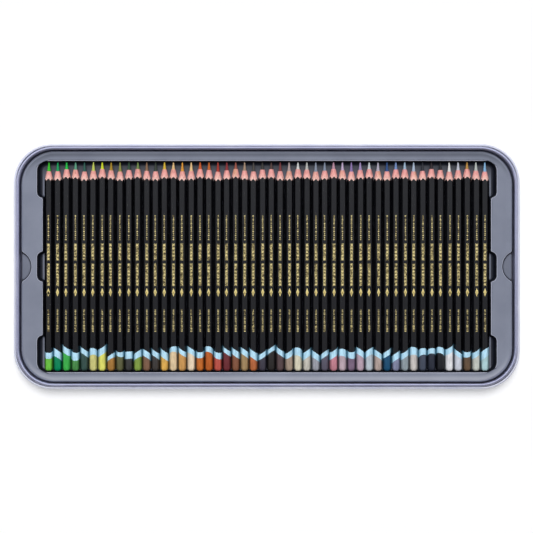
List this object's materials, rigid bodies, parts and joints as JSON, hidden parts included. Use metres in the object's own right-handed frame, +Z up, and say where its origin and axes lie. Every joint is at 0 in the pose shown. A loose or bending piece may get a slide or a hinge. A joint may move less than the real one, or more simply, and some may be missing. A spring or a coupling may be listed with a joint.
{
  "type": "colored pencil tin",
  "caption": "Open slip-lid tin with its lid nested under the base, a formed lift-out tray with finger pockets, and a row of sharpened hexagonal coloured pencils.",
  "frame": {"origin": "centre of the footprint, on the surface that the tin lies on", "axes": "+X along the row of pencils, which is the tin's long side, +Y towards the sharpened tips, +Z up out of the open tin"},
  "size_m": [0.4248, 0.206, 0.0145],
  "materials": {
    "lid_tinplate": "satin metallic lacquer on tinplate",
    "base_tinplate": "satin metallic lacquer on tinplate",
    "tray_plastic": "satin thermoformed polystyrene sheet",
    "pencil_lacquer": "black lacquered cedar with sharpened coloured cores and dipped ends"
  },
  "bodies": {
    "lid": {"lid": "lid_tinplate"},
    "tin_base": {"tin_base": "base_tinplate"},
    "pencil_tray": {"pencil_tray": "tray_plastic"},
    "pencil_01": {"pencil_01": "pencil_lacquer"},
    "pencil_02": {"pencil_02": "pencil_lacquer"},
    "pencil_03": {"pencil_03": "pencil_lacquer"},
    "pencil_04": {"pencil_04": "pencil_lacquer"},
    "pencil_05": {"pencil_05": "pencil_lacquer"},
    "pencil_06": {"pencil_06": "pencil_lacquer"},
    "pencil_07": {"pencil_07": "pencil_lacquer"},
    "pencil_08": {"pencil_08": "pencil_lacquer"},
    "pencil_09": {"pencil_09": "pencil_lacquer"},
    "pencil_10": {"pencil_10": "pencil_lacquer"},
    "pencil_11": {"pencil_11": "pencil_lacquer"},
    "pencil_12": {"pencil_12": "pencil_lacquer"},
    "pencil_13": {"pencil_13": "pencil_lacquer"},
    "pencil_14": {"pencil_14": "pencil_lacquer"},
    "pencil_15": {"pencil_15": "pencil_lacquer"},
    "pencil_16": {"pencil_16": "pencil_lacquer"},
    "pencil_17": {"pencil_17": "pencil_lacquer"},
    "pencil_18": {"pencil_18": "pencil_lacquer"},
    "pencil_19": {"pencil_19": "pencil_lacquer"},
    "pencil_20": {"pencil_20": "pencil_lacquer"},
    "pencil_21": {"pencil_21": "pencil_lacquer"},
    "pencil_22": {"pencil_22": "pencil_lacquer"},
    "pencil_23": {"pencil_23": "pencil_lacquer"},
    "pencil_24": {"pencil_24": "pencil_lacquer"},
    "pencil_25": {"pencil_25": "pencil_lacquer"},
    "pencil_26": {"pencil_26": "pencil_lacquer"},
    "pencil_27": {"pencil_27": "pencil_lacquer"},
    "pencil_28": {"pencil_28": "pencil_lacquer"},
    "pencil_29": {"pencil_29": "pencil_lacquer"},
    "pencil_30": {"pencil_30": "pencil_lacquer"},
    "pencil_31": {"pencil_31": "pencil_lacquer"},
    "pencil_32": {"pencil_32": "pencil_lacquer"},
    "pencil_33": {"pencil_33": "pencil_lacquer"},
    "pencil_34": {"pencil_34": "pencil_lacquer"},
    "pencil_35": {"pencil_35": "pencil_lacquer"},
    "pencil_36": {"pencil_36": "pencil_lacquer"},
    "pencil_37": {"pencil_37": "pencil_lacquer"},
    "pencil_38": {"pencil_38": "pencil_lacquer"},
    "pencil_39": {"pencil_39": "pencil_lacquer"},
    "pencil_40": {"pencil_40": "pencil_lacquer"},
    "pencil_41": {"pencil_41": "pencil_lacquer"},
    "pencil_42": {"pencil_42": "pencil_lacquer"},
    "pencil_43": {"pencil_43": "pencil_lacquer"},
    "pencil_44": {"pencil_44": "pencil_lacquer"},
    "pencil_45": {"pencil_45": "pencil_lacquer"},
    "pencil_46": {"pencil_46": "pencil_lacquer"},
    "pencil_47": {"pencil_47": "pencil_lacquer"},
    "pencil_48": {"pencil_48": "pencil_lacquer"},
    "pencil_49": {"pencil_49": "pencil_lacquer"},
    "pencil_50": {"pencil_50": "pencil_lacquer"}
  },
  "joints": [
    {"name": "base_lift", "type": "slide", "parent": "lid", "child": "tin_base", "axis": [0, 0, 1], "range_m": [0, 0.04]},
    {"name": "tray_lift", "type": "slide", "parent": "tin_base", "child": "pencil_tray", "axis": [0, 0, 1], "range_m": [0, 0.04]},
    {"name": "pencil_01_lift", "type": "slide", "parent": "pencil_tray", "child": "pencil_01", "axis": [0, 0, 1], "range_m": [0, 0.03]},
    {"name": "pencil_02_lift", "type": "slide", "parent": "pencil_tray", "child": "pencil_02", "axis": [0, 0, 1], "range_m": [0, 0.03]},
    {"name": "pencil_03_lift", "type": "slide", "parent": "pencil_tray", "child": "pencil_03", "axis": [0, 0, 1], "range_m": [0, 0.03]},
    {"name": "pencil_04_lift", "type": "slide", "parent": "pencil_tray", "child": "pencil_04", "axis": [0, 0, 1], "range_m": [0, 0.03]},
    {"name": "pencil_05_lift", "type": "slide", "parent": "pencil_tray", "child": "pencil_05", "axis": [0, 0, 1], "range_m": [0, 0.03]},
    {"name": "pencil_06_lift", "type": "slide", "parent": "pencil_tray", "child": "pencil_06", "axis": [0, 0, 1], "range_m": [0, 0.03]},
    {"name": "pencil_07_lift", "type": "slide", "parent": "pencil_tray", "child": "pencil_07", "axis": [0, 0, 1], "range_m": [0, 0.03]},
    {"name": "pencil_08_lift", "type": "slide", "parent": "pencil_tray", "child": "pencil_08", "axis": [0, 0, 1], "range_m": [0, 0.03]},
    {"name": "pencil_09_lift", "type": "slide", "parent": "pencil_tray", "child": "pencil_09", "axis": [0, 0, 1], "range_m": [0, 0.03]},
    {"name": "pencil_10_lift", "type": "slide", "parent": "pencil_tray", "child": "pencil_10", "axis": [0, 0, 1], "range_m": [0, 0.03]},
    {"name": "pencil_11_lift", "type": "slide", "parent": "pencil_tray", "child": "pencil_11", "axis": [0, 0, 1], "range_m": [0, 0.03]},
    {"name": "pencil_12_lift", "type": "slide", "parent": "pencil_tray", "child": "pencil_12", "axis": [0, 0, 1], "range_m": [0, 0.03]},
    {"name": "pencil_13_lift", "type": "slide", "parent": "pencil_tray", "child": "pencil_13", "axis": [0, 0, 1], "range_m": [0, 0.03]},
    {"name": "pencil_14_lift", "type": "slide", "parent": "pencil_tray", "child": "pencil_14", "axis": [0, 0, 1], "range_m": [0, 0.03]},
    {"name": "pencil_15_lift", "type": "slide", "parent": "pencil_tray", "child": "pencil_15", "axis": [0, 0, 1], "range_m": [0, 0.03]},
    {"name": "pencil_16_lift", "type": "slide", "parent": "pencil_tray", "child": "pencil_16", "axis": [0, 0, 1], "range_m": [0, 0.03]},
    {"name": "pencil_17_lift", "type": "slide", "parent": "pencil_tray", "child": "pencil_17", "axis": [0, 0, 1], "range_m": [0, 0.03]},
    {"name": "pencil_18_lift", "type": "slide", "parent": "pencil_tray", "child": "pencil_18", "axis": [0, 0, 1], "range_m": [0, 0.03]},
    {"name": "pencil_19_lift", "type": "slide", "parent": "pencil_tray", "child": "pencil_19", "axis": [0, 0, 1], "range_m": [0, 0.03]},
    {"name": "pencil_20_lift", "type": "slide", "parent": "pencil_tray", "child": "pencil_20", "axis": [0, 0, 1], "range_m": [0, 0.03]},
    {"name": "pencil_21_lift", "type": "slide", "parent": "pencil_tray", "child": "pencil_21", "axis": [0, 0, 1], "range_m": [0, 0.03]},
    {"name": "pencil_22_lift", "type": "slide", "parent": "pencil_tray", "child": "pencil_22", "axis": [0, 0, 1], "range_m": [0, 0.03]},
    {"name": "pencil_23_lift", "type": "slide", "parent": "pencil_tray", "child": "pencil_23", "axis": [0, 0, 1], "range_m": [0, 0.03]},
    {"name": "pencil_24_lift", "type": "slide", "parent": "pencil_tray", "child": "pencil_24", "axis": [0, 0, 1], "range_m": [0, 0.03]},
    {"name": "pencil_25_lift", "type": "slide", "parent": "pencil_tray", "child": "pencil_25", "axis": [0, 0, 1], "range_m": [0, 0.03]},
    {"name": "pencil_26_lift", "type": "slide", "parent": "pencil_tray", "child": "pencil_26", "axis": [0, 0, 1], "range_m": [0, 0.03]},
    {"name": "pencil_27_lift", "type": "slide", "parent": "pencil_tray", "child": "pencil_27", "axis": [0, 0, 1], "range_m": [0, 0.03]},
    {"name": "pencil_28_lift", "type": "slide", "parent": "pencil_tray", "child": "pencil_28", "axis": [0, 0, 1], "range_m": [0, 0.03]},
    {"name": "pencil_29_lift", "type": "slide", "parent": "pencil_tray", "child": "pencil_29", "axis": [0, 0, 1], "range_m": [0, 0.03]},
    {"name": "pencil_30_lift", "type": "slide", "parent": "pencil_tray", "child": "pencil_30", "axis": [0, 0, 1], "range_m": [0, 0.03]},
    {"name": "pencil_31_lift", "type": "slide", "parent": "pencil_tray", "child": "pencil_31", "axis": [0, 0, 1], "range_m": [0, 0.03]},
    {"name": "pencil_32_lift", "type": "slide", "parent": "pencil_tray", "child": "pencil_32", "axis": [0, 0, 1], "range_m": [0, 0.03]},
    {"name": "pencil_33_lift", "type": "slide", "parent": "pencil_tray", "child": "pencil_33", "axis": [0, 0, 1], "range_m": [0, 0.03]},
    {"name": "pencil_34_lift", "type": "slide", "parent": "pencil_tray", "child": "pencil_34", "axis": [0, 0, 1], "range_m": [0, 0.03]},
    {"name": "pencil_35_lift", "type": "slide", "parent": "pencil_tray", "child": "pencil_35", "axis": [0, 0, 1], "range_m": [0, 0.03]},
    {"name": "pencil_36_lift", "type": "slide", "parent": "pencil_tray", "child": "pencil_36", "axis": [0, 0, 1], "range_m": [0, 0.03]},
    {"name": "pencil_37_lift", "type": "slide", "parent": "pencil_tray", "child": "pencil_37", "axis": [0, 0, 1], "range_m": [0, 0.03]},
    {"name": "pencil_38_lift", "type": "slide", "parent": "pencil_tray", "child": "pencil_38", "axis": [0, 0, 1], "range_m": [0, 0.03]},
    {"name": "pencil_39_lift", "type": "slide", "parent": "pencil_tray", "child": "pencil_39", "axis": [0, 0, 1], "range_m": [0, 0.03]},
    {"name": "pencil_40_lift", "type": "slide", "parent": "pencil_tray", "child": "pencil_40", "axis": [0, 0, 1], "range_m": [0, 0.03]},
    {"name": "pencil_41_lift", "type": "slide", "parent": "pencil_tray", "child": "pencil_41", "axis": [0, 0, 1], "range_m": [0, 0.03]},
    {"name": "pencil_42_lift", "type": "slide", "parent": "pencil_tray", "child": "pencil_42", "axis": [0, 0, 1], "range_m": [0, 0.03]},
    {"name": "pencil_43_lift", "type": "slide", "parent": "pencil_tray", "child": "pencil_43", "axis": [0, 0, 1], "range_m": [0, 0.03]},
    {"name": "pencil_44_lift", "type": "slide", "parent": "pencil_tray", "child": "pencil_44", "axis": [0, 0, 1], "range_m": [0, 0.03]},
    {"name": "pencil_45_lift", "type": "slide", "parent": "pencil_tray", "child": "pencil_45", "axis": [0, 0, 1], "range_m": [0, 0.03]},
    {"name": "pencil_46_lift", "type": "slide", "parent": "pencil_tray", "child": "pencil_46", "axis": [0, 0, 1], "range_m": [0, 0.03]},
    {"name": "pencil_47_lift", "type": "slide", "parent": "pencil_tray", "child": "pencil_47", "axis": [0, 0, 1], "range_m": [0, 0.03]},
    {"name": "pencil_48_lift", "type": "slide", "parent": "pencil_tray", "child": "pencil_48", "axis": [0, 0, 1], "range_m": [0, 0.03]},
    {"name": "pencil_49_lift", "type": "slide", "parent": "pencil_tray", "child": "pencil_49", "axis": [0, 0, 1], "range_m": [0, 0.03]},
    {"name": "pencil_50_lift", "type": "slide", "parent": "pencil_tray", "child": "pencil_50", "axis": [0, 0, 1], "range_m": [0, 0.03]}
  ]
}
